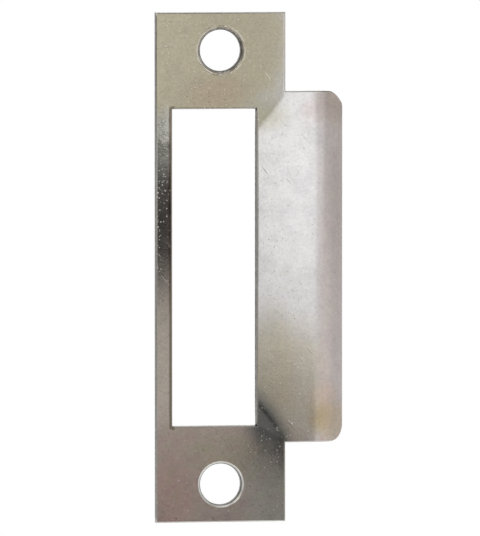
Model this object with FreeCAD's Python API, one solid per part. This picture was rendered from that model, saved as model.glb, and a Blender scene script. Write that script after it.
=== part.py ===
"""Mortice strike plate: one pressed piece of plated steel for a door frame.

A flat plate has a tall opening for the latch and the bolt, and a bevelled screw hole near each end.
A lip on one long side runs on from the narrow bar beside the opening and curves back at its end, so
that the latch rides up it as the door closes. Pressing the lip back also tips that bar a little: the
bar and the lip turn together about the line through the two corners at the lip's root, and the metal
twists across a small triangle at each end of the bar.

Frame, in millimetres: +Z is up along the plate, +X is towards the lip, and -Y is out of the face that
shows when the plate is fitted. The origin is on the back face, midway between the screw holes.
"""

import FreeCAD, Part
import math
import os

# Plate
plate_height = 123.8
plate_width = 31.75
thickness = 2.4

# Screw holes, on the plate's middle line
hole_to_plate_end = 9.2
hole_diameter = 10.0
bevel_diameter = 11.3
bevel_angle = 82.0

# Opening for the latch and the bolt, placed by the metal left round it
opening_to_plate_end = 23.4
plain_side_bar = 4.0
lip_side_bar = 7.1

# Lip: how far it runs past each end of the opening and out from the plate's side, and how it bends back
lip_past_opening = 4.2
lip_projection = 14.75
lip_tilt = 3.0
lip_end_slope = 38.0
lip_bend_radius = 12.7
lip_tail = 1.0
lip_corner_radius = 4.1
twist_length = 5.0

# Edges rounded by the press on the side that shows
pressed_edge_radius = 0.35

# A face that looks to the front by more than this share of one belongs to the side that shows
front_share = 0.75

# Room that cutting tools reach past the metal
tool_overrun = 4.0

half_width = plate_width / 2
half_height = plate_height / 2
front = -thickness
hole_z = half_height - hole_to_plate_end
opening_left = -half_width + plain_side_bar
opening_right = half_width - lip_side_bar
opening_top = half_height - opening_to_plate_end
root = opening_top + lip_past_opening
lip_end = half_width + lip_projection
twist_start = opening_top - twist_length
tilt = math.radians(lip_tilt)
end_slope = math.radians(lip_end_slope)


def point(x, y, z=0.0):
    """A point of the plate's frame."""
    return FreeCAD.Vector(x, y, z)


def plane_of_sheet(x):
    """Y of the front of the tilted bar and lip at x, before the bend: it turns about the plate's edge."""
    return front + (x - half_width) * math.tan(tilt)


def front_view_prism(outline, low, high):
    """A prism along Y from a closed outline of (x, z) points."""
    points = [point(x, low, z) for x, z in outline]
    face = Part.Face(Part.makePolygon(points + points[:1]))
    return face.extrude(point(0, high - low, 0))


def faces_of(corners, index_loops):
    """A solid from its corner points and, for each flat face, the order of its corners."""
    faces = []
    for loop in index_loops:
        ring = [corners[i] for i in loop]
        faces.append(Part.Face(Part.makePolygon(ring + ring[:1])))
    return Part.makeSolid(Part.makeShell(faces))


def flat_plate():
    """The flat part: both ends and the bar on the side away from the lip, up to the twisted triangles."""
    outline = [
        (-half_width, -half_height),
        (half_width, -half_height),
        (half_width, -root),
        (opening_right, -opening_top),
        (opening_left, -opening_top),
        (opening_left, opening_top),
        (opening_right, opening_top),
        (half_width, root),
        (half_width, half_height),
        (-half_width, half_height),
    ]
    return front_view_prism(outline, front, 0)


def twisted_triangle(side):
    """The triangle that joins the flat plate to the tipped bar; side is 1 at the top and -1 at the bottom."""
    raised = plane_of_sheet(opening_right)
    places = [
        (half_width, front, root),
        (opening_right, front, opening_top),
        (opening_right, raised, twist_start),
    ]
    outer = [point(x, y, side * z) for x, y, z in places]
    inner = [p + point(0, thickness, 0) for p in outer]
    loops = [(0, 1, 2), (3, 4, 5), (0, 1, 4, 3), (1, 2, 5, 4), (2, 0, 3, 5)]
    return faces_of(outer + inner, loops)


def lip_section():
    """The section of the bar and the lip across Z, and the place and directions of the lip's end edge."""
    sheet = thickness * math.cos(tilt)
    bend_run = lip_bend_radius * (math.sin(end_slope) - math.sin(tilt))
    bend_start = lip_end - lip_tail * math.cos(end_slope) - bend_run
    start = point(bend_start, plane_of_sheet(bend_start))
    centre = start + point(-math.sin(tilt), math.cos(tilt)) * lip_bend_radius

    def on_bend(radius, slope):
        return centre + point(math.sin(slope), -math.cos(slope)) * radius

    along_end = point(math.cos(end_slope), math.sin(end_slope))
    across_end = point(-math.sin(end_slope), math.cos(end_slope))
    outer, inner = lip_bend_radius, lip_bend_radius - sheet
    middle = (tilt + end_slope) / 2
    outer_arc = [on_bend(outer, s) for s in (tilt, middle, end_slope)]
    inner_arc = [on_bend(inner, s) for s in (end_slope, middle, tilt)]
    tip_outer = outer_arc[2] + along_end * lip_tail
    tip_inner = inner_arc[0] + along_end * lip_tail
    bar_outer = point(opening_right, plane_of_sheet(opening_right))
    bar_inner = bar_outer + point(0, thickness)
    edges = [
        Part.LineSegment(bar_outer, outer_arc[0]).toShape(),
        Part.Arc(*outer_arc).toShape(),
        Part.LineSegment(outer_arc[2], tip_outer).toShape(),
        Part.LineSegment(tip_outer, tip_inner).toShape(),
        Part.LineSegment(tip_inner, inner_arc[0]).toShape(),
        Part.Arc(*inner_arc).toShape(),
        Part.LineSegment(inner_arc[2], bar_inner).toShape(),
        Part.LineSegment(bar_inner, bar_outer).toShape(),
    ]
    return Part.Wire(edges), tip_outer, along_end, across_end


def corner_tool(tip, along, across, side):
    """The metal outside the lip's rounded corner, cut square to the lip's end; side is 1 at the top."""

    def place(inward, z):
        return tip - along * inward + point(0, 0, side * z)

    radius = lip_corner_radius
    centre_z = root - radius
    diagonal = radius * (1 - math.sqrt(0.5))
    arc_end = place(0, centre_z)
    arc_middle = place(diagonal, root - diagonal)
    arc_start = place(radius, root)
    outside = [
        arc_start,
        place(radius, root + tool_overrun),
        place(-tool_overrun, root + tool_overrun),
        place(-tool_overrun, centre_z),
        arc_end,
    ]
    edges = [Part.Arc(arc_end, arc_middle, arc_start).toShape()]
    edges += [Part.LineSegment(a, b).toShape() for a, b in zip(outside, outside[1:])]
    face = Part.Face(Part.Wire(edges))
    face.translate(across * -tool_overrun)
    return face.extrude(across * (thickness + 2 * tool_overrun))


def lip_and_bar():
    """The tipped bar beside the opening and the lip, one bent sheet cut to its front view."""
    section, tip, along, across = lip_section()
    sheet = Part.Face(section)
    sheet.translate(point(0, 0, -root))
    bent = sheet.extrude(point(0, 0, 2 * root))
    past = lip_end + tool_overrun
    outline = [
        (opening_right, -twist_start),
        (half_width, -root),
        (past, -root),
        (past, root),
        (half_width, root),
        (opening_right, twist_start),
    ]
    # The bend cannot go farther back than the lip goes out, so the prism holds all of it.
    bent = bent.common(front_view_prism(outline, front - tool_overrun, lip_projection))
    for side in (1, -1):
        bent = bent.cut(corner_tool(tip, along, across, side))
    return bent


def screw_hole(z):
    """A straight hole with a bevelled mouth at the front, as one tool to cut with."""
    half_angle = math.radians(bevel_angle / 2)
    bevel_depth = (bevel_diameter - hole_diameter) / 2 / math.tan(half_angle)
    mouth_radius = bevel_diameter / 2 + tool_overrun * math.tan(half_angle)
    profile = [
        (0, -tool_overrun),
        (mouth_radius, -tool_overrun),
        (hole_diameter / 2, bevel_depth),
        (hole_diameter / 2, thickness + tool_overrun),
        (0, thickness + tool_overrun),
    ]
    points = [point(r, front + y, z) for r, y in profile]
    face = Part.Face(Part.makePolygon(points + points[:1]))
    return face.revolve(point(0, 0, z), point(0, 1, 0), 360)


def rim_edges(shape):
    """The edges between the side that shows and the cut sides of the sheet, the screw holes left out."""
    found = []
    for edge in shape.Edges:
        if edge.isClosed():
            continue
        middle = edge.valueAt((edge.FirstParameter + edge.LastParameter) / 2)
        looks = []
        for face in shape.ancestorsOfType(edge, Part.Face):
            looks.append(-face.normalAt(*face.Surface.parameter(middle)).y)
        if max(looks) > front_share > abs(min(looks)):
            found.append(edge)
    return found


def strike_plate():
    """The whole piece."""
    shape = flat_plate()
    for side in (1, -1):
        shape = shape.fuse(twisted_triangle(side))
    shape = shape.fuse(lip_and_bar())
    shape = shape.removeSplitter()
    shape = shape.makeFillet(pressed_edge_radius, rim_edges(shape))
    for z in (hole_z, -hole_z):
        shape = shape.cut(screw_hole(z))
    return shape


os.makedirs("parts", exist_ok=True)
piece = strike_plate()
print("solids", len(piece.Solids), "valid", piece.isValid(), "volume", round(piece.Volume, 1))
print("faces", len(piece.Faces), "box", piece.BoundBox)
piece.exportStep("parts/strike_plate.step")
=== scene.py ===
import logging
import math
from dataclasses import dataclass, field
from enum import Enum

import bmesh
import bpy
import numpy as np
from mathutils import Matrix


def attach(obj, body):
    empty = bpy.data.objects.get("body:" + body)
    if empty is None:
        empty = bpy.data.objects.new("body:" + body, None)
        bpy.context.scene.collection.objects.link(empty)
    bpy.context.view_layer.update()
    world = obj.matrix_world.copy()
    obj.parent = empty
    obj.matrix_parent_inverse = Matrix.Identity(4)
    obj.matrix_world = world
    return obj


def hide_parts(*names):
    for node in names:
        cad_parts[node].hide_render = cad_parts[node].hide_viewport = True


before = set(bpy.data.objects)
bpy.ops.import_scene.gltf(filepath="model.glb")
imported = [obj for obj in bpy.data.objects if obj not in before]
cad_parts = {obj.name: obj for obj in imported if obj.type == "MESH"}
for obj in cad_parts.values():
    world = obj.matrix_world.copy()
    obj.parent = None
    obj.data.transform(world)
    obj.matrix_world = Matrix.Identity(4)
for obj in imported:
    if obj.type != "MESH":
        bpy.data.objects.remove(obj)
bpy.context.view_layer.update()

MM = 0.001
LOG = logging.getLogger("strike_plate")
# Places nearer to each other than this, in millimetres, count as one.
TINY = 1e-6
# Places on the blank are welded where they round to the same step.
WELD_STEPS_PER_MM = 20000.0
# The inside of a row of places, and the same from its far end.
INSIDE, INSIDE_BACK = slice(1, -1), slice(-2, 0, -1)
QUARTER_TURN = math.pi / 2
WHITE = (255, 255, 255)
Array, Socket, Tree = np.ndarray, bpy.types.NodeSocket, bpy.types.NodeTree
Pair, Triple = tuple[float, float], tuple[float, float, float]


class End(Enum):
    """The plate's two ends, by the way that Z goes there."""

    TOP = 1
    BOTTOM = -1


@dataclass(frozen=True)
class BentSheet:
    """The pressed sheet as a map from the flat blank to the finished shape, in millimetres.

    A place on the blank is (s, z, depth): s runs across the plate from the screw holes' line and on
    along the lip, z runs up the plate, and depth goes into the metal from the side that shows.
    """

    thickness: float = 2.4
    half_width: float = 15.875
    half_height: float = 61.9
    opening_left: float = -11.875
    opening_right: float = 8.775
    opening_top: float = 38.5
    root: float = 42.7
    lip_end: float = 30.622
    tilt: float = math.radians(3.0)
    end_slope: float = math.radians(38.0)
    bend_radius: float = 12.7
    lip_tail: float = 1.0
    corner_radius: float = 4.1
    twist_length: float = 5.0
    top_twist_length: float = 3.6
    twist_blur: float = 1.7
    twist_spill: float = 0.5
    fold_reach: float = 1.6
    fold_margin: float = 0.9
    settle_length: float = 2.0
    wave_height: float = 0.012
    wave_depth: float = 0.5
    wave_lines: tuple[Triple, ...] = ((0.21, 0.11, 0.7), (0.33, -0.17, 2.1), (0.06, 0.27, 4.0))

    @property
    def bend_start(self) -> float:
        """X at which the lip begins to curve back."""
        run = self.bend_radius * (math.sin(self.end_slope) - math.sin(self.tilt))
        return self.lip_end - self.lip_tail * math.cos(self.end_slope) - run

    @property
    def flat_run(self) -> float:
        """Length of the straight part of the lip on the blank."""
        return (self.bend_start - self.half_width) / math.cos(self.tilt)

    @property
    def bend_run(self) -> float:
        """Length of the curved part of the lip on the blank."""
        return self.bend_radius * (self.end_slope - self.tilt)

    @property
    def blank_end(self) -> float:
        """s at the lip's end on the blank."""
        return self.half_width + self.flat_run + self.bend_run + self.lip_tail

    def twist_share(self, s: Array, z: Array) -> Array:
        """How far the sheet beside the opening has turned: 0 on the flat plate, 1 on the bar.

        The share rises smoothly, as 3t^2 - 2t^3, between two lines from the root corner: one to the
        opening's corner and one to the bar's edge a twist length farther in.

        Args:
            s: Places across the blank.
            z: Places up the blank.

        Returns:
            The share at each place.
        """
        reach = np.clip((self.half_width - s) / (self.half_width - self.opening_right), 0.0, self.fold_reach)
        length = np.where(z > 0.0, self.top_twist_length, self.twist_length)
        upper = self.root - (self.root - self.opening_top) * reach + self.twist_spill
        lower = self.root - (self.root - self.opening_top + length) * reach - self.twist_blur
        t = np.clip((upper - np.abs(z)) / (upper - lower), 0.0, 1.0)
        share = t * t * (3.0 - 2.0 * t)
        return np.where(s < self.opening_right - self.fold_margin, 0.0, share)

    def from_opening(self, s: Array, z: Array) -> Array:
        """How far places lie from the opening's edge: the length of what is left outside its box.

        Args:
            s: Places across the blank.
            z: Places up the blank.

        Returns:
            The distances in millimetres.
        """
        middle = (self.opening_left + self.opening_right) / 2.0
        half = (self.opening_right - self.opening_left) / 2.0
        across = np.clip(np.abs(s - middle) - half, 0.0, None)
        along = np.clip(np.abs(z) - self.opening_top, 0.0, None)
        return np.hypot(across, along)

    def waves(self, s: Array, z: Array) -> Array:
        """Slow waves of the pressed face: a sum of sines, each of a s + b z + c for one wave line.

        Args:
            s: Places across the blank.
            z: Places up the blank.

        Returns:
            How far the face is pushed into the metal, never less than nothing.
        """
        total = sum(np.sin(a * s + b * z + c) for a, b, c in self.wave_lines)
        return self.wave_height * (1.0 + total / len(self.wave_lines))

    def place(self, s: Array, z: Array, depth: Array) -> Array:
        """Carry places of the blank to the finished shape.

        Up to the root the front is flat, turned about the plate's side by the tilt times the twist
        share. Past the root it goes straight at the tilt, then round a circle to the end slope, then
        straight again. Depth is laid off along the sheet's inward normal.

        Args:
            s: Places across the blank.
            z: Places up the blank.
            depth: Depths below the side that shows.

        Returns:
            An array of points, one row each, in metres.
        """
        share = self.twist_share(s, z)
        inner = s <= self.half_width + TINY
        turn = np.where(inner, self.tilt * share, self.tilt)
        y_plate = -self.thickness + (s - self.half_width) * np.tan(turn)

        past = np.clip(s - self.half_width, 0.0, None)
        straight = np.minimum(past, self.flat_run)
        bent = np.clip(past - self.flat_run, 0.0, self.bend_run)
        tail = np.clip(past - self.flat_run - self.bend_run, 0.0, None)
        slope = self.tilt + bent / self.bend_radius
        radius = self.bend_radius
        x_lip = self.half_width + straight * math.cos(self.tilt)
        x_lip = x_lip + radius * (np.sin(slope) - math.sin(self.tilt)) + tail * np.cos(slope)
        y_lip = -self.thickness + straight * math.sin(self.tilt)
        y_lip = y_lip + radius * (math.cos(self.tilt) - np.cos(slope)) + tail * np.sin(slope)

        x = np.where(inner, s, x_lip)
        y = np.where(inner, y_plate, y_lip)
        edge_share = self.twist_share(np.full_like(s, self.half_width), z)
        settle = np.clip(past / self.settle_length, 0.0, 1.0)
        lean = np.where(inner, turn, slope - self.tilt * (1.0 - edge_share) * (1.0 - settle))
        pushed = depth * np.where(inner, 1.0, math.cos(self.tilt))
        pushed = pushed + self.waves(s, z) * np.clip(1.0 - depth / self.wave_depth, 0.0, 1.0)
        x = x - np.sin(lean) * pushed
        y = y + np.cos(lean) * pushed
        return np.stack([x, y, z], axis=-1) * MM


def add_object(name: str, data: bpy.types.ID) -> bpy.types.Object:
    """Make an object at the origin and put it in the scene."""
    made = bpy.data.objects.new(name, data)
    bpy.context.scene.collection.objects.link(made)
    return made


def grid_quads(rows: int, columns: int) -> Array:
    """The quads of a grid, each joining four neighbours, as rows of four place numbers."""
    index = np.arange(rows * columns).reshape(rows, columns)
    corners = (index[:-1, :-1], index[1:, :-1], index[1:, 1:], index[:-1, 1:])
    return np.stack(corners, axis=-1).reshape(-1, 4)


def join_runs(*runs: tuple[object, ...]) -> Array:
    """Join runs of rows into one table.

    Args:
        *runs: The columns of each run; a column is an array, or a number for the whole run.

    Returns:
        The table.
    """
    return np.concatenate([np.stack(np.broadcast_arrays(*np.atleast_1d(*run)), axis=-1) for run in runs])


def graded(start: float, stop: float, step: float, rim: float = 0.0) -> Array:
    """Even steps from start to stop, with a narrow first and last step where rim is given.

    Args:
        start: First value.
        stop: Last value.
        step: Largest even step.
        rim: Width of the first and last step, or 0 for none.

    Returns:
        The values in order.
    """
    inset = math.copysign(rim, stop - start)
    low, high = start + inset, stop - inset
    inner = np.linspace(low, high, max(1, math.ceil(abs(high - low) / step)) + 1)
    return np.concatenate([[start], inner, [stop]]) if rim else inner


def arc_rows(radius: float, angle: float, steps: int) -> Array:
    """Rows of an arc that starts level: r sin a out and r - r cos a deep, for even steps of a."""
    turn = np.linspace(0.0, angle, steps + 1)
    return np.stack([radius * np.sin(turn), radius * (1.0 - np.cos(turn))], axis=-1)


@dataclass
class Mesher:
    """Gathers patches of the blank, welds them, and makes the finished mesh."""

    sheet: BentSheet
    points: list[Array] = field(default_factory=list)
    quads: list[Array] = field(default_factory=list)

    def patch(self, s: Array, z: Array, depth: Array | float) -> None:
        """Add a grid of places as quads.

        Args:
            s: Grid of places across the blank.
            z: Grid of places up the blank.
            depth: Grid of depths, a row of them, or one depth.
        """
        grid = np.stack(np.broadcast_arrays(s, z, depth), axis=-1)
        self.quads.append(grid_quads(*grid.shape[:2]) + sum(map(len, self.points)))
        self.points.append(grid.reshape(-1, 3))

    def faces(self, s: Array, z: Array) -> None:
        """Add the same grid of places (s, z) on both sides of the sheet."""
        self.patch(s, z, 0.0)
        self.patch(s[::-1], z[::-1], self.sheet.thickness)

    def rim(self, loop: Array, section: Array) -> None:
        """Carry an edge section round a closed loop: place = loop + outward x out, at each depth.

        Args:
            loop: Rows of s, z, and the direction out of the metal as a pair, as long as a mitre needs.
            section: Rows of how far out and how deep the section is, from the front face to the back.
        """
        s, z, way_s, way_z = np.concatenate([loop, loop[:1]]).T[:, :, None]
        out, depth = section.T
        self.patch(s + way_s * out, z + way_z * out, depth)

    def finish(self, name: str) -> bpy.types.Object:
        """Weld the patches, bend them and make the object, with two attributes for its finish.

        Args:
            name: Name of the object.

        Returns:
            The object.
        """
        blank = np.concatenate(self.points)
        keys = np.round(blank * WELD_STEPS_PER_MM).astype(np.int64)
        _, first, inverse = np.unique(keys, axis=0, return_index=True, return_inverse=True)
        quads = inverse.reshape(-1)[np.concatenate(self.quads)]
        s, z, depth = blank[first].T
        mesh = bpy.data.meshes.new(name)
        mesh.from_pydata(self.sheet.place(s, z, depth).tolist(), [], quads.tolist())
        mesh.validate()
        looks = {"depth": depth / self.sheet.thickness, "opening_rim": self.sheet.from_opening(s, z)}
        for label, values in looks.items():
            mesh.attributes.new(label, "FLOAT", "POINT").data.foreach_set("value", values.astype(np.float32))
        work = bmesh.new()
        work.from_mesh(mesh)
        bmesh.ops.recalc_face_normals(work, faces=work.faces[:])
        open_edges = sum(1 for edge in work.edges if len(edge.link_faces) != 2)
        LOG.info("%s: %d faces, %d open edges", name, len(work.faces), open_edges)
        work.to_mesh(mesh)
        work.free()
        mesh.shade_smooth()
        return add_object(name, mesh)


@dataclass(frozen=True)
class StrikePlate:
    """The whole piece: plate, opening, screw holes, bar and lip in one pressed sheet."""

    sheet: BentSheet = BentSheet()
    hole_height: float = 52.7
    hole_radius: float = 5.0
    bevel_radius: float = 5.65
    bevel_depth: float = 0.748
    hole_soft: float = 0.05
    cone_share: float = 0.85
    pressed_round: float = 0.35
    back_round: float = 0.12
    upper_drop: float = 3.0
    upper_run: float = 4.05
    upper_power: float = 1.7
    step: float = 0.9
    lip_step: float = 0.63
    root_step: float = 0.495
    plain_bar_step: float = 0.45
    lip_bar_step: float = 0.54
    corner_steps: int = 18
    rim_step: float = 0.14

    def wall(self, out: float, top: float, back: float, steps: int) -> Array:
        """Rows of a straight wall and the small round at its back, down to the back face's rim.

        Args:
            out: How far out the wall stands.
            top: Depth at which it begins.
            back: Radius of the round.
            steps: Steps down the wall; the round has one less.

        Returns:
            The section's rows below the wall's top.
        """
        thickness = self.sheet.thickness
        down = np.linspace(top, thickness - back, steps + 1)[INSIDE]
        turned = arc_rows(back, QUARTER_TURN, steps - 1)[:, ::-1] * (-1.0, 1.0)
        return np.concatenate([join_runs((out, down)), turned + (out, thickness - back), [[0.0, thickness]]])

    def pressed_section(self) -> Array:
        """The punched edge: a quarter circle rolled over at the front, and a straight wall."""
        front = arc_rows(self.pressed_round, QUARTER_TURN, 7)
        return np.concatenate([front, self.wall(self.pressed_round, self.pressed_round, self.back_round, 5)])

    def hole_section(self) -> Array:
        """A screw hole's edge: a softened rim, a cone, a knee and a straight bore.

        The knee is a curve with three control points: the cone's end, the sharp corner that cone and
        bore would make, and a place as far below that corner as the cone's end is above it.

        Returns:
            The section's rows.
        """
        width = self.bevel_radius - self.hole_radius
        slant = math.atan2(self.bevel_depth, width)
        rim = arc_rows(self.hole_soft / math.tan(slant / 2), slant, 4)
        corner = np.array([self.hole_soft + width, self.bevel_depth])
        end = rim[-1] + (corner - rim[-1]) * self.cone_share
        landing = corner + (0.0, corner[1] - end[1])
        t = np.linspace(0.0, 1.0, 4)[:, None]
        cone = rim[-1] + (end - rim[-1]) * t[INSIDE]
        knee = (1 - t) ** 2 * end + 2 * t * (1 - t) * corner + t**2 * landing
        return np.concatenate([rim, cone, knee, self.wall(corner[0], landing[1], self.hole_soft, 4)])

    def lip_grid(self) -> tuple[Array, Array, Array]:
        """The lip's columns: their place across, and how far each goes down and up from the middle.

        Past the corner's start the columns follow the corner: s = start + r sin a and
        height = root - R + r cos a, for the angle a from 0 to a right angle, with R the corner's
        radius and r that radius less the rolled edge. The upper corner is cut flatter: there the
        height is no more than root - drop t^power, where t rises from 0 to 1 over the upper run.

        Returns:
            The places across, the heights below the middle, and the heights above it.
        """
        sheet, edge = self.sheet, self.pressed_round
        corner = sheet.blank_end - sheet.corner_radius
        across = graded(sheet.half_width - edge, corner, self.lip_step)
        turn = np.linspace(0.0, QUARTER_TURN, self.corner_steps + 1)[1:]
        radius = sheet.corner_radius - edge
        round_s = corner + radius * np.sin(turn)
        round_z = sheet.root - sheet.corner_radius + radius * np.cos(turn)
        s = np.concatenate([across, round_s])
        lower = np.concatenate([np.full(across.shape, sheet.root - edge), round_z])
        bound = sheet.root - edge - self.upper_drop * self.upper_share(s) ** self.upper_power
        return s, lower, np.minimum(lower, bound)

    def upper_share(self, s: Array) -> Array:
        """How far places across the blank are along the upper corner's run, from 0 to 1."""
        start = self.sheet.blank_end - self.pressed_round - self.upper_run
        return np.clip((s - start) / self.upper_run, 0.0, 1.0)

    def heights(self) -> Array:
        """Shared heights from the lip's lower rim to its upper rim, through the opening's corners."""
        sheet, edge = self.sheet, self.pressed_round
        top, root = sheet.opening_top + edge, sheet.root - edge
        upper = graded(top, root, self.root_step, self.rim_step)
        middle = graded(-top, top, self.step, self.rim_step)
        return np.concatenate([-upper[::-1], middle[INSIDE], upper])

    def beside(self) -> Array:
        """The shared heights beside the opening."""
        heights = self.heights()
        return heights[np.abs(heights) <= self.sheet.opening_top + self.pressed_round + TINY]

    def columns(self) -> tuple[Array, Array, Array]:
        """Shared places across the plain bar, the opening's width and the bar beside the lip."""
        sheet, edge = self.sheet, self.pressed_round
        left, right = -sheet.half_width + edge, sheet.half_width - edge
        opening_left, opening_right = sheet.opening_left - edge, sheet.opening_right + edge
        return (
            graded(left, opening_left, self.plain_bar_step, self.rim_step),
            graded(opening_left, opening_right, self.step),
            graded(opening_right, right, self.lip_bar_step, self.rim_step),
        )

    def across(self) -> Array:
        """All the shared places across the plate, in order."""
        return np.unique(np.round(np.concatenate(self.columns()), 9))

    def up(self) -> Array:
        """The heights from the lip's root to the plate's end, on both long sides."""
        sheet, edge = self.sheet, self.pressed_round
        return graded(sheet.root - edge, sheet.half_height - edge, self.step)

    def lip_patch(self, mesher: Mesher) -> None:
        """Add the lip: each column's heights are the shared ones, drawn in where the corner is round."""
        s, lower, upper = self.lip_grid()
        share = self.heights() / (self.sheet.root - self.pressed_round)
        grid_s, grid_share = np.meshgrid(s, share, indexing="ij")
        mesher.faces(grid_s, grid_share * np.where(grid_share > 0.0, upper[:, None], lower[:, None]))

    def end_patch(self, mesher: Mesher, end: End) -> None:
        """Add one end of the plate round its screw hole, as rings between the hole and a rectangle.

        A place is centre + (1 - t) x hole rim + t x rectangle, where t runs from 0 at the hole to 1
        at the rectangle, and both are met along the same direction from the centre.

        Args:
            mesher: The mesh being gathered.
            end: Which end.
        """
        across, up = self.across(), end.value * self.up()
        loop = join_runs(
            (across[:-1], up[0]), (across[-1], up[:-1]), (across[:0:-1], up[-1]), (across[0], up[:0:-1])
        )
        centre = np.array([0.0, end.value * self.hole_height])
        way = (loop - centre) / np.linalg.norm(loop - centre, axis=1, keepdims=True)
        hole = centre + way * (self.bevel_radius + self.hole_soft)
        t = np.concatenate([[0.0, 0.02, 0.05], np.linspace(0.1, 0.95, 9), [0.985, 1.0]])[:, None]
        grid = hole[:, None] * (1 - t) + loop[:, None] * t
        grid = np.concatenate([grid, grid[:1]])
        mesher.faces(grid[:, :, 0], grid[:, :, 1])
        mesher.rim(np.concatenate([hole, -way], axis=1), self.hole_section())

    def bars_and_bands(self, mesher: Mesher) -> None:
        """Add the flat blocks round the opening: two bars, and a band above and below."""
        heights, beside = self.heights(), self.beside()
        left, middle, right = self.columns()
        for across in (left, right):
            mesher.faces(*np.meshgrid(across, beside, indexing="ij"))
        for band in (heights[heights >= beside[-1]], heights[heights <= beside[0]]):
            for across in (left, middle, right):
                mesher.faces(*np.meshgrid(across, band, indexing="ij"))

    def outline(self) -> Array:
        """The front face's outer rim, from the lip's lower root round the lip and the plate.

        Returns:
            Rows of s, z, and the mitred direction out of the metal as a pair.
        """
        sheet, edge = self.sheet, self.pressed_round
        across, up, heights = self.across(), self.up(), self.heights()
        lip_s, lower, upper = self.lip_grid()
        left, right, low, high = across[0], across[-1], up[0], up[-1]
        corner = sheet.blank_end - sheet.corner_radius
        sine = np.clip((lip_s - corner) / (sheet.corner_radius - edge), 0.0, 1.0)
        cosine = np.sqrt(1.0 - sine**2)
        fall = self.upper_drop * self.upper_power / self.upper_run
        fall = fall * self.upper_share(lip_s) ** (self.upper_power - 1.0)
        cut = upper < lower - TINY
        cut_sine = np.where(cut, fall / np.hypot(fall, 1.0), sine)
        cut_cosine = np.where(cut, 1.0 / np.hypot(fall, 1.0), cosine)
        end_heights = heights / low * lower[-1]
        return join_runs(
            (lip_s[INSIDE], -lower[INSIDE], sine[INSIDE], -cosine[INSIDE]),
            (lip_s[-1], end_heights, 1, 0),
            (lip_s[INSIDE_BACK], upper[INSIDE_BACK], cut_sine[INSIDE_BACK], cut_cosine[INSIDE_BACK]),
            (right, low, 1, 1),
            (right, up[INSIDE], 1, 0),
            (right, high, 1, 1),
            (across[INSIDE_BACK], high, 0, 1),
            (left, high, -1, 1),
            (left, up[INSIDE_BACK], -1, 0),
            (left, heights[::-1], -1, 0),
            (left, -up[INSIDE], -1, 0),
            (left, -high, -1, -1),
            (across[INSIDE], -high, 0, -1),
            (right, -high, 1, -1),
            (right, -up[INSIDE_BACK], 1, 0),
            (right, -low, 1, -1),
        )

    def opening_rim(self) -> Array:
        """The front face's rim round the opening.

        Returns:
            Rows of s, z, and the mitred direction into the opening as a pair.
        """
        beside, middle = self.beside(), self.columns()[1]
        left, right, top = middle[0], middle[-1], beside[-1]
        return join_runs(
            (left, -top, 1, 1),
            (middle[INSIDE], -top, 0, 1),
            (right, -top, -1, 1),
            (right, beside[INSIDE], -1, 0),
            (right, top, -1, -1),
            (middle[INSIDE_BACK], top, 0, -1),
            (left, top, 1, -1),
            (left, beside[INSIDE_BACK], 1, 0),
        )

    def build(self) -> bpy.types.Object:
        """Gather every patch and make the piece.

        Returns:
            The finished object.
        """
        mesher = Mesher(self.sheet)
        self.bars_and_bands(mesher)
        self.lip_patch(mesher)
        for end in End:
            self.end_patch(mesher, end)
        for loop in (self.outline(), self.opening_rim()):
            mesher.rim(loop, self.pressed_section())
        return mesher.finish("pressed_plate")


@dataclass(frozen=True)
class Patch:
    """A soft-edged oval of colour: its middle and reach in millimetres, and its colour.

    Edge is the softness of its border as a share of the reach, waver is how far cloudy noise moves the
    border, strength is how much of the colour shows, and turn tips the oval in degrees.
    """

    middle: Pair
    reach: Pair
    colour: Triple
    edge: float = 0.5
    waver: float = 0.0
    strength: float = 1.0
    turn: float = 0.0


@dataclass(frozen=True)
class Noise:
    """A kind of noise: its waves to a metre, its layers of finer detail, and how much those count."""

    scale: float
    detail: float
    roughness: float


@dataclass(frozen=True)
class Pits:
    """Scattered pits: cells to a metre, the share of cells with a pit, and a pit's size in cells."""

    scale: float
    share: float
    size: float


def colour(red: float, green: float, blue: float) -> tuple[float, ...]:
    """A linear colour from values between 0 and 255 as a screen shows them."""
    shares = np.array([red, green, blue]) / 255.0
    linear = np.where(shares <= 0.04045, shares / 12.92, ((shares + 0.055) / 1.055) ** 2.4)
    return (*linear.tolist(), 1.0)


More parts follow.
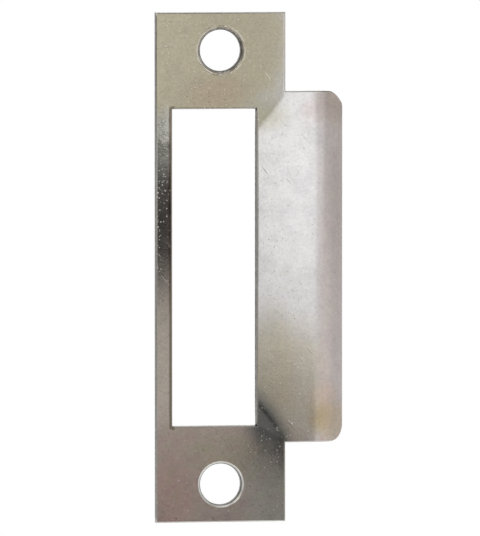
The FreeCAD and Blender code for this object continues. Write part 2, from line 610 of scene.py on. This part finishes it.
@dataclass(frozen=True)
class NodeSheet:
    """Short ways to add shader nodes to one node tree."""

    tree: Tree

    @staticmethod
    def on(owner: bpy.types.Material | bpy.types.World) -> "NodeSheet":
        """Turn on the nodes of a material or world, clear them, and start on its tree."""
        owner.use_nodes = True
        owner.node_tree.nodes.clear()
        return NodeSheet(owner.node_tree)

    def add(self, kind: str, feeds: dict | None = None, **settings: object) -> bpy.types.Node:
        """Add a node, set its properties and feed its inputs.

        Args:
            kind: Blender's name of the node type.
            feeds: A socket or a plain value for each input, by its name or number.
            **settings: Properties by name.

        Returns:
            The node.
        """
        node = self.tree.nodes.new(kind)
        for key, value in settings.items():
            setattr(node, key, value)
        for key, source in (feeds or {}).items():
            self.feed(source, node.inputs[key])
        return node

    def feed(self, source: object, target: Socket) -> None:
        """Link a socket to a target, or set the target's value where the source is a number or colour."""
        if isinstance(source, Socket):
            self.tree.links.new(source, target)
        else:
            target.default_value = source

    def math(self, operation: str, *values: object) -> Socket:
        """Add a Math node on one to three values and return its output."""
        return self.add("ShaderNodeMath", dict(enumerate(values)), operation=operation).outputs[0]

    def times(self, first: object, second: object) -> Socket:
        """The product of two values."""
        return self.math("MULTIPLY", first, second)

    def vector_math(self, operation: str, *vectors: object) -> Socket:
        """Add a Vector Math node on one to three vectors and return its output vector."""
        return self.add("ShaderNodeVectorMath", dict(enumerate(vectors)), operation=operation).outputs[0]

    def ramp(self, value: object, low: object, high: object) -> Socket:
        """A smooth rise from 0 to 1 as a value goes from low to high."""
        feeds = {0: value, 1: low, 2: high}
        return self.add("ShaderNodeMapRange", feeds, interpolation_type="SMOOTHSTEP").outputs[0]

    def noise(self, vector: object, kind: Noise) -> Socket:
        """Add a noise texture and return its value."""
        feeds = {"Vector": vector, "Scale": kind.scale, "Detail": kind.detail, "Roughness": kind.roughness}
        return self.add("ShaderNodeTexNoise", feeds).outputs["Fac"]

    def mix(self, share: object, first: object, second: object, blend: str = "MIX") -> Socket:
        """Mix two colours and return the result."""
        feeds = {0: share, 6: first, 7: second}
        return self.add("ShaderNodeMix", feeds, data_type="RGBA", blend_type=blend).outputs[2]

    def lay(self, mask: object, strength: float, under: object, over: object) -> Socket:
        """Lay a colour over another where a mask stands, at a strength."""
        return self.mix(self.times(mask, strength), under, over)

    def separate(self, vector: object) -> tuple[Socket, ...]:
        """The three parts of a vector."""
        return tuple(self.add("ShaderNodeSeparateXYZ", {0: vector}).outputs)

    def attribute(self, label: str, output: str) -> Socket:
        """One of the mesh's attributes."""
        return self.add("ShaderNodeAttribute", attribute_name=label).outputs[output]

    def kept_cells(self, vector: object, scale: object, share: object, part: int) -> tuple[Socket, ...]:
        """Irregular cells, of which only a share is kept.

        Args:
            vector: Coordinates.
            scale: Cells to a unit of the coordinates.
            share: Share of the cells that is kept.
            part: Which of a cell's three random values, from 0 to 2, decides it.

        Returns:
            1 in kept cells and 0 in others, the distance from the cell's middle, and the cell's middle
            random value.
        """
        cells = self.add("ShaderNodeTexVoronoi", {"Vector": vector, "Scale": scale})
        values = self.add("ShaderNodeSeparateColor", {0: cells.outputs["Color"]}).outputs
        return self.math("GREATER_THAN", share, values[part]), cells.outputs["Distance"], values[1]

    def group(self, group: Tree, output: str, **feeds: object) -> Socket:
        """Place a node group, feed its inputs by name, and return one of its outputs."""
        return self.add("ShaderNodeGroup", feeds, node_tree=group).outputs[output]


# The node groups' sockets that aren't plain numbers.
SOCKET_KINDS = dict.fromkeys(("Vector", "Middle", "Reach"), "NodeSocketVector")
SOCKET_KINDS |= dict.fromkeys(("Under", "Patch", "Colour"), "NodeSocketColor")


def start_group(name: str, inputs: str, outputs: str) -> tuple[Tree, NodeSheet, object, object]:
    """Start a node group with named inputs and outputs.

    Args:
        name: Name of the group.
        inputs: Names of its inputs, with spaces between.
        outputs: Names of its outputs, in the same way.

    Returns:
        The group, a sheet on it, the sockets that come in and the sockets that go out.
    """
    group = bpy.data.node_groups.new(name, "ShaderNodeTree")
    for way, labels in (("INPUT", inputs), ("OUTPUT", outputs)):
        for label in labels.split():
            kind = SOCKET_KINDS.get(label, "NodeSocketFloat")
            group.interface.new_socket(label, in_out=way, socket_type=kind)
    sheet = NodeSheet(group)
    return group, sheet, sheet.add("NodeGroupInput").outputs, sheet.add("NodeGroupOutput").inputs


def soft_patch_group() -> Tree:
    """A group that lays a soft oval of colour over another colour.

    The mask falls smoothly from 1 to 0 where the distance from the middle, in reaches, goes from
    1 - edge to 1 + edge, and the cloud, a value round 0, moves that border in and out.

    Returns:
        The group.
    """
    inputs = "Vector Middle Reach Edge Waver Cloud Strength Under Patch"
    group, sheet, given, out = start_group("soft_patch", inputs, "Colour Mask")
    offset = sheet.vector_math("SUBTRACT", given["Vector"], given["Middle"])
    scaled = sheet.vector_math("DIVIDE", offset, given["Reach"])
    away = sheet.add("ShaderNodeVectorMath", {0: scaled}, operation="LENGTH").outputs["Value"]
    away = sheet.math("MULTIPLY_ADD", given["Cloud"], given["Waver"], away)
    start, stop = (sheet.math(step, 1.0, given["Edge"]) for step in ("SUBTRACT", "ADD"))
    inside = sheet.math("SUBTRACT", 1.0, sheet.ramp(away, start, stop))
    mask = sheet.times(inside, given["Strength"])
    sheet.feed(sheet.mix(mask, given["Under"], given["Patch"]), out["Colour"])
    sheet.feed(mask, out["Mask"])
    return group


def pit_group(bend_scale: float = 900.0, bend: float = 0.0006, least_size: float = 0.4) -> Tree:
    """A group of scattered fine pits: a value that is 1 in the middle of a pit and 0 between pits.

    Cells of unlike size are kept where their own random value is high, and each kept cell has a round
    pit, so that the pits are irregular in place and number.

    Args:
        bend_scale: Waves to a metre of the noise that bends the pits.
        bend: How far it moves them, in metres.
        least_size: Size of the smallest pits, where the largest are 1 more.

    Returns:
        The group.
    """
    group, sheet, given, out = start_group("fine_pits", "Vector Scale Share Size", "Mask")
    noise = sheet.add("ShaderNodeTexNoise", {"Vector": given["Vector"], "Scale": bend_scale}).outputs["Color"]
    bent = sheet.vector_math("MULTIPLY_ADD", noise, (bend, bend, bend), given["Vector"])
    kept, away, value = sheet.kept_cells(bent, given["Scale"], given["Share"], 0)
    own_size = sheet.times(given["Size"], sheet.math("ADD", value, least_size))
    near = sheet.math("SUBTRACT", 1.0, sheet.ramp(away, 0.0, own_size))
    sheet.feed(sheet.times(near, kept), out["Mask"])
    return group


def scratch_group(core: float = 0.05, rim: float = 0.4) -> Tree:
    """A group of short thin scratches along the vector's third axis: stretched cells with a narrow middle.

    Args:
        core: Half width of a scratch's full middle, in cells.
        rim: Half width at which it ends.

    Returns:
        The group.
    """
    group, sheet, given, out = start_group("thin_scratches", "Vector Across Along Share", "Mask")
    stretch = sheet.add("ShaderNodeCombineXYZ", {0: given["Across"], 1: given["Across"], 2: given["Along"]})
    pulled = sheet.vector_math("MULTIPLY", given["Vector"], stretch.outputs[0])
    kept, away, _ = sheet.kept_cells(pulled, 1.0, given["Share"], 2)
    near = sheet.math("SUBTRACT", 1.0, sheet.ramp(away, core, rim))
    sheet.feed(sheet.times(near, kept), out["Mask"])
    return group


@dataclass(frozen=True)
class Groups:
    """The node groups that the finish and the studio share."""

    patch: Tree
    pits: Tree
    scratches: Tree

    @staticmethod
    def make() -> "Groups":
        """Build each group once."""
        return Groups(soft_patch_group(), pit_group(), scratch_group())

    def lay_patches(
        self, sheet: NodeSheet, vector: object, cloud: object, under: object, patches: tuple[Patch, ...]
    ) -> Socket:
        """Lay soft ovals of colour over a colour, one after the other.

        Args:
            sheet: The node tree's sheet.
            vector: Coordinates in metres, with the pattern in x and z.
            cloud: A value round 0 that moves the borders.
            under: The colour below.
            patches: The ovals, in order.

        Returns:
            The colour that results.
        """
        for patch in patches:
            middle = (patch.middle[0] * MM, 0.0, patch.middle[1] * MM)
            tipped = vector
            if patch.turn:
                feeds = {"Vector": vector, "Center": middle, "Angle": math.radians(patch.turn)}
                tipped = sheet.add("ShaderNodeVectorRotate", feeds, rotation_type="Y_AXIS").outputs[0]
            under = sheet.group(
                self.patch,
                "Colour",
                Vector=tipped,
                Middle=middle,
                Reach=(patch.reach[0] * MM, 1.0, patch.reach[1] * MM),
                Edge=patch.edge,
                Waver=patch.waver,
                Cloud=cloud,
                Strength=patch.strength,
                Under=under,
                Patch=colour(*patch.colour),
            )
        return under

    def pit_mask(self, sheet: NodeSheet, place: object, pits: Pits, zones: object = 1.0) -> Socket:
        """Pits of a kind, fewer where the zones' value is low."""
        share = pits.share if zones == 1.0 else sheet.times(zones, pits.share)
        return sheet.group(self.pits, "Mask", Vector=place, Scale=pits.scale, Share=share, Size=pits.size)


@dataclass(frozen=True)
class Mark:
    """What a kind of mark does: how high it stands, how much of its tint shows, and that tint."""

    kind: str
    relief: float
    strength: float = 0.0
    tint: Triple = WHITE


@dataclass(frozen=True)
class ZincPlating:
    """Bright zinc on pressed steel: half gloss, finely pitted, with faint coloured tints.

    The tints are khaki at the top and along the plain bar, pink brown at the bottom, lavender grey on
    the lip, and a little yellow near the lip's lower corner; where darker than the zinc they are partly
    painted shade, and a dark grey patch on the bar's lower crease is painted shade. The sheared walls
    are darker and rougher, partly as painted shade, with painted highlight spots; the upper bevel and
    the bevels' feet are painted darker as shade, and bright specks on the plate and the ring round the
    upper hole are painted highlights.
    """

    zinc: Triple = (240, 238, 238)
    # Torn wall: partly the darker cut steel, partly painted shade; its peaks are painted highlights.
    torn_wall_and_shade: Triple = (116, 111, 105)
    torn_glint: Triple = (178, 174, 168)
    cut_wall: Triple = (182, 179, 174)
    # Bevels: the upper is painted darker than the lower as shade, the foot is painted shade and the spots are
    # painted highlights.
    shaded_upper_bevel: Triple = (150, 143, 133)
    lower_bevel: Triple = (244, 243, 240)
    shaded_bevel_foot: Triple = (96, 94, 90)
    bevel_glint: Triple = (252, 252, 247)
    cut_strength: float = 0.7
    roughness: float = 0.15
    cloud_roughness: float = 0.12
    wall_roughness: float = 0.15
    hole_height: float = 52.7
    bevel_radius: float = 5.66
    burr_width: float = 0.5
    cloud: Noise = Noise(260, 5, 0.62)
    mottle: Noise = Noise(1300, 4, 0.7)
    cast: Noise = Noise(420, 3, 0.6)
    grain: Noise = Noise(1900, 3, 0.6)
    burr_breaks: Noise = Noise(420, 2, 0.5)
    tears: Noise = Noise(1200, 3, 0.6)
    streaks: Noise = Noise(1000, 4, 0.7)
    pits: Pits = Pits(1500, 0.12, 0.4)
    nicks_and_glints: Pits = Pits(2700, 0.3, 0.55)
    scratch_turn: float = math.radians(38)
    bump_strength: float = 0.6
    bump_distance: float = 0.00002
    marks: tuple[Mark, ...] = (
        Mark("pits", -0.7, 0.3, (130, 128, 126)),
        # Nicks: raised pits, tinted near white as painted glints.
        Mark("nicks_and_glints", 2.2, 0.75, (252, 252, 247)),
        # Burr: a raised ring, tinted near white as a painted highlight.
        Mark("burr_and_glint", 6, 0.25, (252, 252, 247)),
        # A dark brownish band along the opening's edge on the plain bar's side.
        Mark("dark_opening_band", 0, 0.85, (140, 128, 116)),
        Mark("scratches", 0.9),
        Mark("grain", 0.7),
        Mark("streaks", 8),
    )
    # Tints of the zinc; where darker than the zinc they are partly painted shade.
    tints_and_shade: tuple[Patch, ...] = (
        Patch((-8, 56), (24.5, 21), (228, 221, 204), 0.16, 0.2),
        Patch((-1, 42.5), (7, 4), (224, 206, 190), 0.6, 0.9, 0.6),
        Patch((-14, -1), (4, 37), (224, 217, 214), 0.12, 0.2),
        Patch((-14, 29), (3, 9), (225, 226, 224), 0.4, 0.6, 0.8),
        Patch((-13.2, 31), (1.1, 7), (252, 252, 252), 0.8, 3, 0.7),
        Patch((-12.3, 8), (1.1, 24), (228, 206, 206), 0.5, 0.8, 0.6),
        Patch((-2, -55), (30, 20), (212, 200, 194), 0.2, 0.25),
        Patch((1, -46), (9, 5), (209, 203, 185), 0.6, 0.8, 0.7),
        Patch((-12, -55), (5, 8), (214, 190, 184), 0.6, 0.8, 0.7),
        Patch((13, -56), (7, 12), (208, 209, 202), 0.6, 0.8, 0.85),
        Patch((12.5, -25), (5.8, 14), (207, 200, 181), 0.5, 0.5, 0.85),
        Patch((19.5, -28), (6.5, 13), (221, 212, 192), 0.5, 0.5, 0.7),
        Patch((11, 36.8), (5, 3.2), (222, 219, 206), 0.7, 0.5, 0.9),
        Patch((28, 10), (3.6, 60), (230, 217, 212), 0.7, 0.3, 0.6),
        Patch((25.6, -32), (3, 4), (234, 206, 184), 0.7, 0.9, 0.45),
        Patch((25.2, -37), (3, 3.2), (208, 190, 140), 0.8, 0.9, 0.85),
        Patch((22.5, 38), (3, 2.4), (232, 214, 212), 0.7, 0.9, 0.4),
        # Painted shade: a dark grey patch on the lower crease where the bar twists towards the lip.
        Patch((10.6, -37.8), (3.8, 9), (137, 140, 141), 0.65, 0.7, 0.95, 35),
        Patch((28.5, 41), (4.5, 6), (206, 192, 182), 0.6, 0.5, 0.7),
        Patch((28.5, -38.5), (4, 5.5), (224, 208, 186), 0.6, 0.6, 0.7),
    )
    # Zones of painted highlights, where the nicks show as near-white glints.
    glint_zones: tuple[Patch, ...] = (
        Patch((-15.4, 20), (0.8, 60), WHITE, 0.4, 0, 0.6),
        Patch((-13.8, 24), (2.4, 12), WHITE, 0.5, 0.5, 0.32),
        Patch((-7, 50), (11, 10), WHITE, 0.6, 0.9, 0.8),
        Patch((11, -40), (3.2, 7), WHITE, 0.5, 0.5, 0.32, 35),
        Patch((18, -22), (8, 8), WHITE, 0.6, 0.9, 0.22),
        Patch((-3, -50), (16, 12), WHITE, 0.6, 0.9, 0.06),
    )
    coarse: Patch = Patch((-13.8, 35), (3, 5.5), WHITE, 0.45, 0.6)

    def material(self, name: str, groups: Groups) -> bpy.types.Material:
        """Build the plating's material.

        Args:
            name: Name of the material.
            groups: The shared groups.

        Returns:
            The material.
        """
        made = bpy.data.materials.new(name)
        sheet = NodeSheet.on(made)
        place = sheet.add("ShaderNodeTexCoord").outputs["Object"]
        depth = sheet.attribute("depth", "Fac")
        cloud = sheet.noise(place, self.cloud)
        shift = sheet.math("SUBTRACT", cloud, 0.5)

        # The zinc with its tints, partly painted shade where darker.
        tone = groups.lay_patches(sheet, place, shift, colour(*self.zinc), self.tints_and_shade)
        tone = self.mottled(sheet, place, cloud, tone)
        height = 0.0
        masks = self.masks(sheet, groups, place, shift)
        for mark in self.marks:
            mask = masks[mark.kind]
            if mark.strength:
                tone = sheet.lay(mask, mark.strength, tone, colour(*mark.tint))
            if mark.relief:
                height = sheet.math("MULTIPLY_ADD", mask, mark.relief, height)
        sheared = sheet.times(sheet.ramp(depth, 0.002, 0.03), sheet.ramp(depth, 0.99, 0.96))
        tone = sheet.mix(sheared, tone, self.cut_tone(sheet, place, depth))
        smoothest = self.roughness - self.cloud_roughness / 2
        rough = sheet.math("MULTIPLY_ADD", cloud, self.cloud_roughness, smoothest)
        rough = sheet.math("MULTIPLY_ADD", sheared, self.wall_roughness, rough)
        feeds = {"Strength": self.bump_strength, "Distance": self.bump_distance, "Height": height}
        normal = sheet.add("ShaderNodeBump", feeds).outputs[0]
        feeds = {"Base Color": tone, "Metallic": 1.0, "Roughness": rough, "Normal": normal}
        shader = sheet.add("ShaderNodeBsdfPrincipled", feeds)
        sheet.add("ShaderNodeOutputMaterial", {0: shader.outputs[0]})
        return made

    def mottled(self, sheet: NodeSheet, place: object, cloud: object, tone: object) -> Socket:
        """Break a colour up with cloudy and fine noise, and with slow green and pink casts.

        The casts are stronger at the plate's lower end.

        Args:
            sheet: The material's sheet.
            place: Coordinates in metres.
            cloud: Cloudy noise round a half.
            tone: The colour to break up.

        Returns:
            The colour that results.
        """
        low = sheet.ramp(sheet.separate(place)[2], -0.036, -0.044)
        cast = sheet.math("SUBTRACT", sheet.noise(place, self.cast), 0.5)
        cast = sheet.times(cast, sheet.math("MULTIPLY_ADD", low, 0.6, 0.4))
        shades = (
            (sheet.ramp(cloud, 0.35, 0.75), (0.91, 0.91, 0.92, 1.0)),
            (sheet.ramp(sheet.noise(place, self.mottle), 0.35, 0.75), (0.87, 0.87, 0.87, 1.0)),
            (sheet.ramp(cast, 0.0, 0.2), (0.94, 1.0, 0.9, 1.0)),
            (sheet.ramp(cast, 0.0, -0.2), (1.0, 0.91, 0.94, 1.0)),
        )
        for share, shade in shades:
            tone = sheet.mix(share, tone, shade, "MULTIPLY")
        return tone

    def from_hole(self, sheet: NodeSheet, place: object, end: End) -> Socket:
        """The distance from a screw hole's axis in millimetres: the root of x^2 + (z - height)^2."""
        across, _, up = sheet.separate(place)
        along = sheet.math("SUBTRACT", up, end.value * self.hole_height * MM)
        square = sheet.math("MULTIPLY_ADD", across, across, sheet.times(along, along))
        return sheet.math("DIVIDE", sheet.math("SQRT", square), MM)

    def masks(self, sheet: NodeSheet, groups: Groups, place: object, shift: object) -> dict[str, Socket]:
        """The masks of all marks, each 1 on the mark and 0 elsewhere.

        Nicks are raised pits in the glint zones, tinted near white as painted glints. The burr is a
        narrow broken ring round the upper hole, raised and tinted near white as a painted highlight. A
        dark brownish band runs along the opening on the plain bar's side. The scratches are all
        tipped the same way, and the streaks are noise drawn out along z in the coarse zone.

        Args:
            sheet: The material's sheet.
            groups: The shared groups.
            place: Coordinates in metres.
            shift: Cloudy noise round 0, which moves borders.

        Returns:
            The masks by the mark's name.
        """
        # Zones of painted glints, where the nicks show near white.
        zones = groups.lay_patches(sheet, place, shift, (0.02, 0.02, 0.02, 1.0), self.glint_zones)
        away = self.from_hole(sheet, place, End.TOP)
        start, stop = self.bevel_radius, self.bevel_radius + self.burr_width
        middle = (start + stop) / 2.0
        ring = sheet.times(sheet.ramp(away, start, middle), sheet.ramp(away, stop, middle))
        rim = sheet.math("MULTIPLY_ADD", shift, 0.6, sheet.attribute("opening_rim", "Fac"))
        left = sheet.ramp(sheet.separate(place)[0], -0.0112, -0.0116)
        turned = sheet.add("ShaderNodeMapping", {"Vector": place, "Rotation": (0.0, self.scratch_turn, 0.0)})
        lines = {"Vector": turned.outputs[0], "Across": 1500.0, "Along": 170.0, "Share": 0.07}
        coarse = groups.lay_patches(sheet, place, shift, (0.0, 0.0, 0.0, 1.0), (self.coarse,))
        drawn = sheet.vector_math("MULTIPLY", place, (1.0, 1.0, 0.4))
        return {
            "pits": groups.pit_mask(sheet, place, self.pits),
            # Nicks tinted near white as painted glints.
            "nicks_and_glints": groups.pit_mask(sheet, place, self.nicks_and_glints, zones),
            # Burr ring tinted near white as a painted highlight.
            "burr_and_glint": sheet.times(ring, sheet.ramp(sheet.noise(place, self.burr_breaks), 0.4, 0.56)),
            "dark_opening_band": sheet.times(sheet.ramp(rim, 1.0, 0.6), left),
            "scratches": sheet.group(groups.scratches, "Mask", **lines),
            "grain": sheet.noise(place, self.grain),
            "streaks": sheet.times(sheet.noise(drawn, self.streaks), coarse),
        }

    def cut_tone(self, sheet: NodeSheet, place: object, depth: object) -> Socket:
        """The colour of cut metal: sheared walls, smooth near the front and torn behind, and the bevels.

        The torn part is dark, partly the cut steel and partly painted shade, with painted highlights in
        streaks through the thickness: noise on coordinates pressed together along y.
        A place belongs to a bevel where it is nearer to a hole's axis than the bevel's rim and no
        deeper than the cone. The upper bevel is painted darker than the lower as shade, both get spots of
        painted highlight, and each darkens towards its foot, where the straight hole begins, as painted
        shade.

        Args:
            sheet: The material's sheet.
            place: Coordinates in metres.
            depth: How deep into the sheet, from 0 to 1.

        Returns:
            The colour.
        """
        pressed = sheet.vector_math("MULTIPLY", place, (1.0, 0.25, 1.0))
        # Streaks of painted highlight on the torn wall, and spots of it on the bevels.
        spots = sheet.ramp(sheet.noise(pressed, self.tears), 0.38, 0.64)
        tone = sheet.mix(spots, colour(*self.torn_wall_and_shade), colour(*self.torn_glint))
        border = sheet.math("MULTIPLY_ADD", spots, 0.08, depth)
        tone = sheet.lay(sheet.ramp(border, 0.46, 0.36), self.cut_strength, tone, colour(*self.cut_wall))
        shallow = sheet.ramp(depth, 0.33, 0.3)
        foot = sheet.ramp(depth, 0.16, 0.27)
        # Each bevel: spots of painted highlight, painted shade at the foot, the upper one painted darker as
        # shade.
        for end, look in ((End.TOP, self.shaded_upper_bevel), (End.BOTTOM, self.lower_bevel)):
            inside = sheet.math("LESS_THAN", self.from_hole(sheet, place, end), self.bevel_radius)
            bevel = sheet.lay(spots, 0.4, colour(*look), colour(*self.bevel_glint))
            bevel = sheet.mix(foot, bevel, colour(*self.shaded_bevel_foot))
            tone = sheet.mix(sheet.times(inside, shallow), tone, bevel)
        return tone


@dataclass(frozen=True)
class Camera:
    """The photograph's long, nearly level view from a little to the left and above."""

    azimuth: float = -9.0
    elevation: float = 3.5
    distance: float = 2.0
    mm_per_pixel: float = 0.2427
    picture_height: int = 536
    aim: Triple = (4.89, -1.2, -0.18)

    def build(self) -> bpy.types.Object:
        """Make the camera and make it the scene's.

        Returns:
            The camera object.
        """
        data = bpy.data.cameras.new("photo_view")
        data.lens = data.sensor_width * self.distance / (self.mm_per_pixel * MM * self.picture_height)
        data.clip_start = 0.01
        data.clip_end = 20.0
        made = add_object("photo_view", data)
        turn, lift = math.radians(self.azimuth), math.radians(self.elevation)
        back = np.array([math.sin(turn) * math.cos(lift), -math.cos(turn) * math.cos(lift), math.sin(lift)])
        made.location = tuple(np.array(self.aim) * MM + back * self.distance)
        made.rotation_euler = (QUARTER_TURN - lift, 0.0, turn)
        bpy.context.scene.camera = made
        return made


@dataclass(frozen=True)
class ReflectionCard:
    """A curved card by the plate that only the metal's gloss sees, as in product photography.

    It is part of a tube round an upright line. Its own coordinates are how far round it goes to the
    right and how far up, in millimetres. As it stands it is the card in front.
    """

    name: str = "front_card"
    axis: Pair = (20.0, 0.0)
    radius: float = 160.0
    turn_from: float = -105.0
    turn_to: float = 105.0
    low: float = -190.0
    high: float = 420.0
    plain: Triple = (196, 195, 194)
    zones: tuple[Patch, ...] = (
        Patch((0, 270), (500, 130), (84, 82, 78), 0.25),
        Patch((400, 0), (270, 110), (196, 194, 193), 0.4),
        Patch((80, 84), (40, 130), (228, 228, 228)),
        Patch((122, -34), (46, 34), (214, 210, 208), 0.7),
        Patch((44, 72), (30, 96), WHITE, 0.42),
        Patch((80, 38), (27, 14), (205, 203, 202), 0.7, 0, 0.8),
        Patch((225, 11), (60, 19), (186, 183, 181), 0.7),
        Patch((190, 42), (40, 14), (206, 204, 200), 0.7),
        Patch((40, -62), (22, 25), (186, 181, 175), 0.65),
        Patch((44, -54), (13, 6), (206, 200, 190), 0.8, 0, 0.8),
        Patch((-22, 44), (50, 90), (188, 186, 175), 0.08),
        Patch((-34, 52), (36, 44), (208, 206, 195), 0.7),
        Patch((-20, 3.2), (36, 19.1), (32, 32, 33), 0.4),
        Patch((-20, -38), (40, 14), (188, 183, 173), 0.4),
        Patch((-16, -66), (52, 15), (175, 169, 165), 0.3),
        Patch((34, -66), (24, 22), (152, 149, 145), 0.7),
        Patch((-200, 0), (90, 900), (128, 126, 122), 0.4),
        Patch((-150, 12), (90, 11), (238, 238, 238), 0.6),
        Patch((-250, 60), (90, 40), (176, 168, 156)),
        Patch((-250, -70), (110, 50), (206, 206, 206), 0.4),
        Patch((22.5, -57), (9.5, 7), (24, 24, 24), 0.45),
        Patch((-10, -98), (60, 16), (40, 40, 40), 0.2),
    )

    def build(self, groups: Groups) -> bpy.types.Object:
        """Make the card: x = axis + r sin a, y = -r cos a for the turn a, with even steps of a and z.

        Args:
            groups: The shared node groups.

        Returns:
            The card's object.
        """
        turn = np.radians(np.linspace(self.turn_from, self.turn_to, 91))
        turn, up = np.meshgrid(turn, np.linspace(self.low, self.high, 35), indexing="ij")
        x = self.axis[0] + self.radius * np.sin(turn)
        y = self.axis[1] - self.radius * np.cos(turn)
        points = np.stack([x, y, up], axis=-1).reshape(-1, 3) * MM
        flat = np.stack([self.radius * turn, np.zeros_like(up), up], axis=-1) * MM
        mesh = bpy.data.meshes.new(self.name)
        mesh.from_pydata(points.tolist(), [], grid_quads(*up.shape).tolist())
        unrolled = mesh.attributes.new("unrolled", "FLOAT_VECTOR", "POINT")
        unrolled.data.foreach_set("vector", flat.astype(np.float32).ravel())
        mesh.materials.append(self.material(groups))
        made = add_object(self.name, mesh)
        made.visible_camera = False
        made.visible_diffuse = False
        made.visible_transmission = False
        made.visible_shadow = False
        return made

    @staticmethod
    def behind() -> "ReflectionCard":
        """The card behind: pale, with one soft darker band and one lighter one."""
        return ReflectionCard(
            name="back_card",
            axis=(0.0, 0.0),
            radius=420.0,
            turn_from=115.0,
            turn_to=245.0,
            low=-330.0,
            high=420.0,
            plain=(206, 205, 204),
            zones=(
                Patch((1180, 0), (150, 900), (250, 250, 250), 0.6),
                Patch((1500, 40), (120, 300), (168, 168, 167), 0.7, turn=20),
                Patch((1330, -170), (160, 60), (150, 149, 147), 0.7),
            ),
        )

    def material(self, groups: Groups) -> bpy.types.Material:
        """Build the card's own light: plain grey with soft lighter and darker zones."""
        made = bpy.data.materials.new(f"{self.name}_light")
        sheet = NodeSheet.on(made)
        place = sheet.attribute("unrolled", "Vector")
        tone = groups.lay_patches(sheet, place, 0.0, colour(*self.plain), self.zones)
        glow = sheet.add("ShaderNodeEmission", {"Color": tone})
        sheet.add("ShaderNodeOutputMaterial", {0: glow.outputs[0]})
        return made


@dataclass(frozen=True)
class Studio:
    """A plain pale studio: floor, white surroundings, one soft lamp."""

    floor_height: float = -0.12
    floor_reach: float = 6.0
    surround: float = 0.6
    lamp_strength: float = 1.5
    lamp_angle: float = math.radians(20)
    lamp_way: Triple = (-0.55, -0.55, 0.63)
    floor_lift: float = 0.2

    def build(self) -> None:
        """Make the surroundings, the floor and the lamp."""
        scene = bpy.context.scene
        scene.view_settings.view_transform = "Standard"
        scene.world = self.surroundings()
        self.floor()
        data = bpy.data.lights.new("soft_lamp", "SUN")
        data.energy = self.lamp_strength
        data.angle = self.lamp_angle
        lamp = add_object("soft_lamp", data)
        across, along, up = self.lamp_way
        level = math.hypot(across, along)
        lamp.rotation_euler = (math.atan2(level, up), 0.0, math.atan2(across, -along))

    def background_share(self, sheet: NodeSheet) -> Socket:
        """A value that is 1 for the camera, gloss and clear materials, and 0 for the light on things."""
        path = sheet.add("ShaderNodeLightPath")
        seen = sheet.math("MAXIMUM", path.outputs["Is Camera Ray"], path.outputs["Is Glossy Ray"])
        return sheet.math("MAXIMUM", seen, path.outputs["Is Transmission Ray"])

    def surroundings(self) -> bpy.types.World:
        """Build the white world: strength 1 where it is seen, and less as light."""
        world = bpy.data.worlds.new("studio")
        sheet = NodeSheet.on(world)
        seen = self.background_share(sheet)
        strength = sheet.math("MULTIPLY_ADD", seen, 1.0 - self.surround, self.surround)
        light = sheet.add("ShaderNodeBackground", {"Color": (1.0, 1.0, 1.0, 1.0), "Strength": strength})
        sheet.add("ShaderNodeOutputWorld", {0: light.outputs[0]})
        return world

    def floor(self) -> bpy.types.Object:
        """Build the pale floor, which keeps the plate's shadow.

        Returns:
            The floor's object.
        """
        mesh = bpy.data.meshes.new("floor")
        ways = ((-1, -1), (1, -1), (1, 1), (-1, 1))
        corners = [(self.floor_reach * x, self.floor_reach * y, self.floor_height) for x, y in ways]
        mesh.from_pydata(corners, [], [(0, 1, 2, 3)])
        made = bpy.data.materials.new("pale_floor")
        sheet = NodeSheet.on(made)
        glow = sheet.times(self.background_share(sheet), self.floor_lift)
        feeds = {"Base Color": colour(242, 242, 242), "Roughness": 0.8, "Specular IOR Level": 0.1}
        feeds |= {"Emission Color": (1.0, 1.0, 1.0, 1.0), "Emission Strength": glow}
        shader = sheet.add("ShaderNodeBsdfPrincipled", feeds)
        sheet.add("ShaderNodeOutputMaterial", {0: shader.outputs[0]})
        mesh.materials.append(made)
        return add_object("floor", mesh)


def main() -> None:
    """Build the piece, its finish, the studio and the camera, and log what was made."""
    logging.basicConfig(level=logging.INFO, format="%(message)s")
    groups = Groups.make()
    plate = StrikePlate().build()
    LOG.info("piece %s made", plate.name)
    plate.data.materials.append(ZincPlating().material("zinc_plating", groups))
    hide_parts("strike_plate")
    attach(plate, "root")
    for card in (ReflectionCard(), ReflectionCard.behind()):
        card.build(groups)
    Studio().build()
    Camera().build()


if __name__ == "__main__":
    main()
